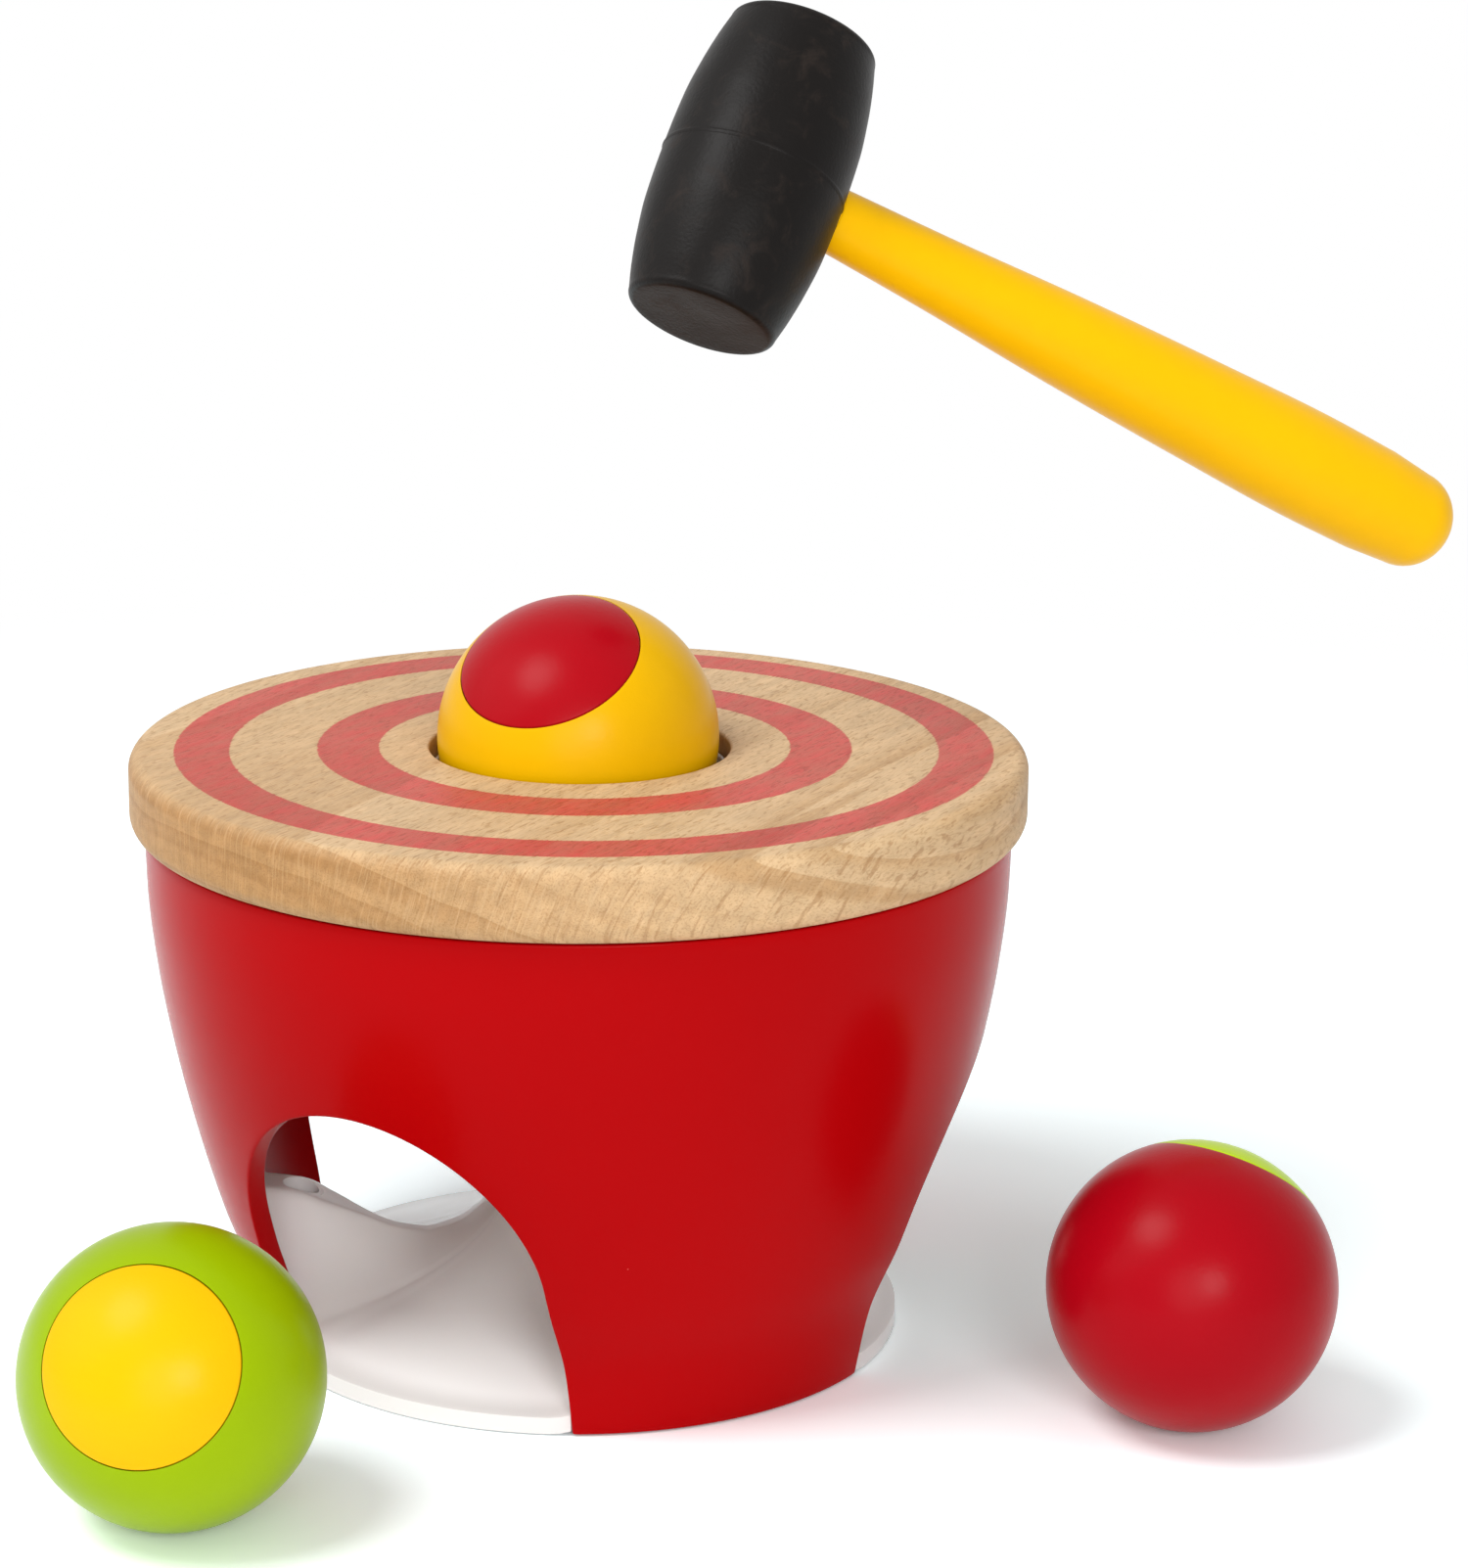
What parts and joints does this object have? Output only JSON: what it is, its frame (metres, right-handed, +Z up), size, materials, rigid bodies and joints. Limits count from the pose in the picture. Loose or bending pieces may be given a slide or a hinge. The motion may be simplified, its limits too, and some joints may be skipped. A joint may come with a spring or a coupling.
{
  "type": "ball pounding bench",
  "caption": "Toddler's pounding toy: a beech disc on a tapered tub with arched ball exits, a moulded chute inside, capped balls and a rubber mallet.",
  "frame": {"origin": "on the floor, on the tub's axis, under the middle of the disc", "axes": "+Z up along the tub's axis; -Y out through the front arch, with the other two arches a third of a turn either side; +X to the right of someone who looks in at the front arch"},
  "size_m": [0.2234, 0.2778, 0.2377],
  "materials": {
    "beech": "fine sanded, clear matt lacquer, two stained rings",
    "red_shell": "gloss",
    "white_plastic": "gloss",
    "retainer_plastic": "satin",
    "screw_steel": "zinc plated",
    "yellow_ball_lacquer": "satin lacquer",
    "dark_red_cap_lacquer": "satin lacquer",
    "green_ball_lacquer": "satin lacquer",
    "yellow_cap_lacquer": "satin lacquer",
    "red_ball_lacquer": "satin lacquer",
    "lime_cap_lacquer": "satin lacquer",
    "black_rubber": "matt moulded",
    "handle_lacquer": "satin lacquer"
  },
  "bodies": {
    "bench": {"top_disc": "beech", "tub": "red_shell", "chute": "white_plastic", "grip_ring": "retainer_plastic", "ring_screw_1": "screw_steel", "ring_screw_2": "screw_steel", "ring_screw_3": "screw_steel", "disc_screw_1": "screw_steel", "disc_screw_2": "screw_steel", "disc_screw_3": "screw_steel", "chute_screw_1": "screw_steel", "chute_screw_2": "screw_steel", "chute_screw_3": "screw_steel"},
    "ball_in_hole": {"yellow_ball": "yellow_ball_lacquer", "yellow_ball_cap": "dark_red_cap_lacquer"},
    "ball_in_front": {"green_ball": "green_ball_lacquer", "green_ball_cap": "yellow_cap_lacquer"},
    "ball_beside": {"red_ball": "red_ball_lacquer", "red_ball_cap": "lime_cap_lacquer"},
    "mallet": {"mallet_head": "black_rubber", "mallet_handle": "handle_lacquer"}
  },
  "joints": [
    {"name": "yellow_ball_drop", "type": "slide", "parent": "bench", "child": "ball_in_hole", "axis": [0, 0, -1], "range_m": [0, 0.0505], "deforming": ["grip_ring"]},
    {"name": "green_ball_roll", "type": "hinge", "parent": "bench", "child": "ball_in_front", "pos_m": [-0.0073, -0.1135, 0.0252], "axis": [1, 0, 0], "continuous": true},
    {"name": "red_ball_roll", "type": "hinge", "parent": "bench", "child": "ball_beside", "pos_m": [0.118, 0.0109, 0.0252], "axis": [0, 1, 0], "continuous": true},
    {"name": "mallet_swing", "type": "hinge", "parent": "bench", "child": "mallet", "pos_m": [0.09885, 0.12461, 0.14224], "axis": [0.7725, -0.6314, 0.0674], "range_deg": [-40, 19.1]}
  ]
}
